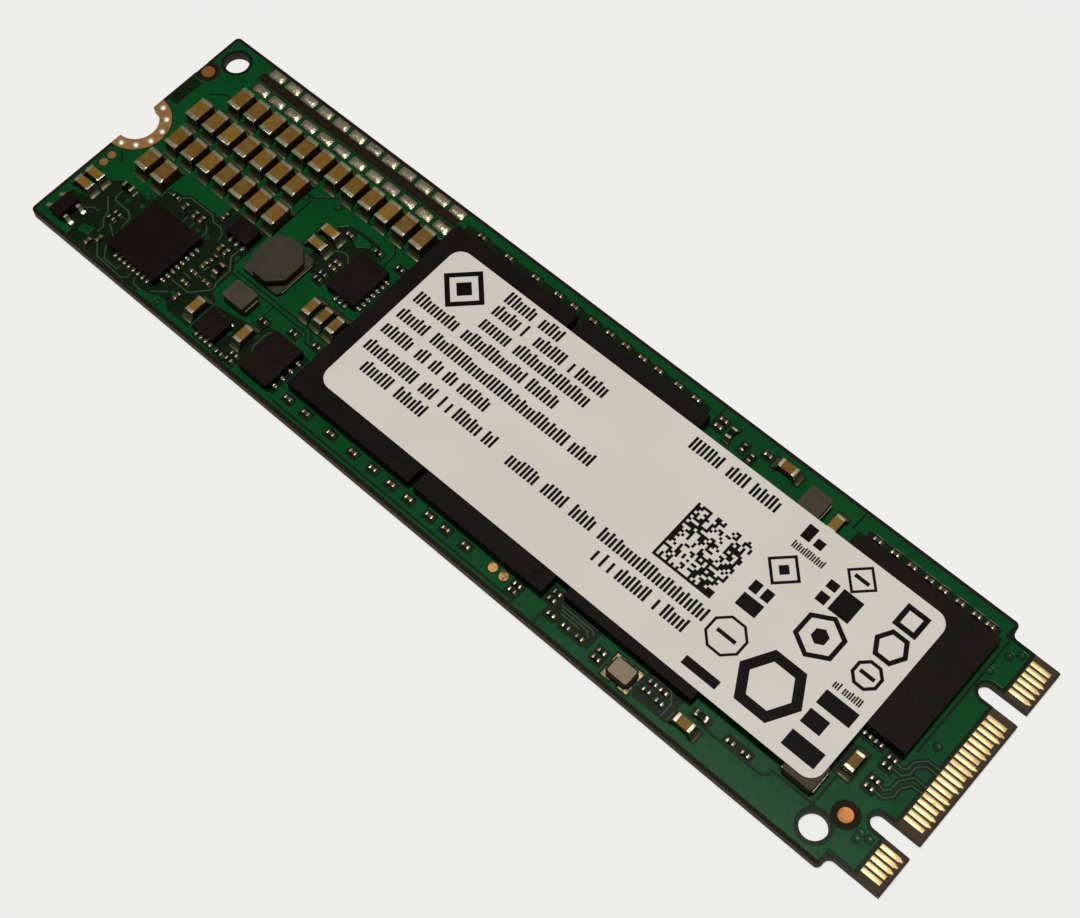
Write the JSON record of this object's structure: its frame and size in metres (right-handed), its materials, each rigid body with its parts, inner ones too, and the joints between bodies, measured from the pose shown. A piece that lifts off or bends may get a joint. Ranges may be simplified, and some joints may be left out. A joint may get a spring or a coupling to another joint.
{
  "type": "gumstick solid state drive",
  "caption": "Slim bare storage card with chips and a label on one side, gold edge contacts with two key slots, and a half-round screw notch.",
  "frame": {"origin": "middle of the card's underside, at the centre of the 80 x 22 mm outline", "axes": "+X along the card towards the edge contacts, +Y across it towards contact 1, +Z out of the chip side"},
  "size_m": [0.08, 0.022, 0.0021],
  "materials": {
    "board": "green solder mask over copper and glass laminate",
    "contact_gold": "hard gold plating",
    "seat_gold": "thin gold plating on copper",
    "solder": "reflowed solder",
    "tin": "matte tin plating",
    "mould": "black moulding compound",
    "laminate": "bare glass laminate",
    "ceramic": "fired brown ceramic",
    "resistor": "black glaze over ceramic",
    "ferrite": "grey ferrite",
    "copper": "bare copper",
    "lid_metal": "thin brushed metal lid",
    "paper": "coated label paper with black print"
  },
  "bodies": {
    "root": {"circuit_board": "board", "edge_contacts_top": "contact_gold", "edge_contacts_bottom": "contact_gold", "screw_seat": "seat_gold", "screw_seat_solder": "solder", "flash_package_left": "mould", "flash_package_right": "mould", "flash_bases": "laminate", "flash_solder_balls": "solder", "controller_package": "mould", "controller_base": "laminate", "controller_solder_balls": "solder", "buffer_memory_package": "mould", "buffer_memory_base": "laminate", "buffer_memory_solder_balls": "solder", "power_manager_body": "mould", "power_manager_leads": "tin", "upper_regulator_body": "mould", "upper_regulator_leads": "tin", "lower_regulator_body": "mould", "lower_regulator_leads": "tin", "small_regulator_body": "mould", "small_regulator_leads": "tin", "load_switch_body": "mould", "load_switch_leads": "tin", "transistor_body": "mould", "transistor_leads": "tin", "drum_choke_core": "ferrite", "drum_choke_winding": "copper", "drum_choke_terminals": "tin", "moulded_choke_bodies": "ferrite", "moulded_choke_terminals": "tin", "oscillator_base": "laminate", "oscillator_lid": "lid_metal", "oscillator_pads": "contact_gold", "storage_capacitors_outer_row": "ceramic", "storage_capacitors_second_row": "ceramic", "storage_capacitors_third_row": "ceramic", "storage_capacitors_inner_row": "ceramic", "storage_capacitor_ends": "tin", "storage_capacitor_solder": "solder", "spare_capacitor_solder": "solder", "mid_capacitor_bodies": "ceramic", "mid_capacitor_ends": "tin", "mid_capacitor_solder": "solder", "small_chip_bodies": "resistor", "small_chip_ends": "tin", "small_chip_solder": "solder", "tiny_capacitor_bodies": "ceramic", "tiny_resistor_bodies": "resistor", "tiny_chip_ends": "tin", "tiny_chip_solder": "solder", "fiducial_dots": "copper", "test_pads": "copper", "underside_test_pads": "seat_gold", "label": "paper"}
  },
  "joints": []
}
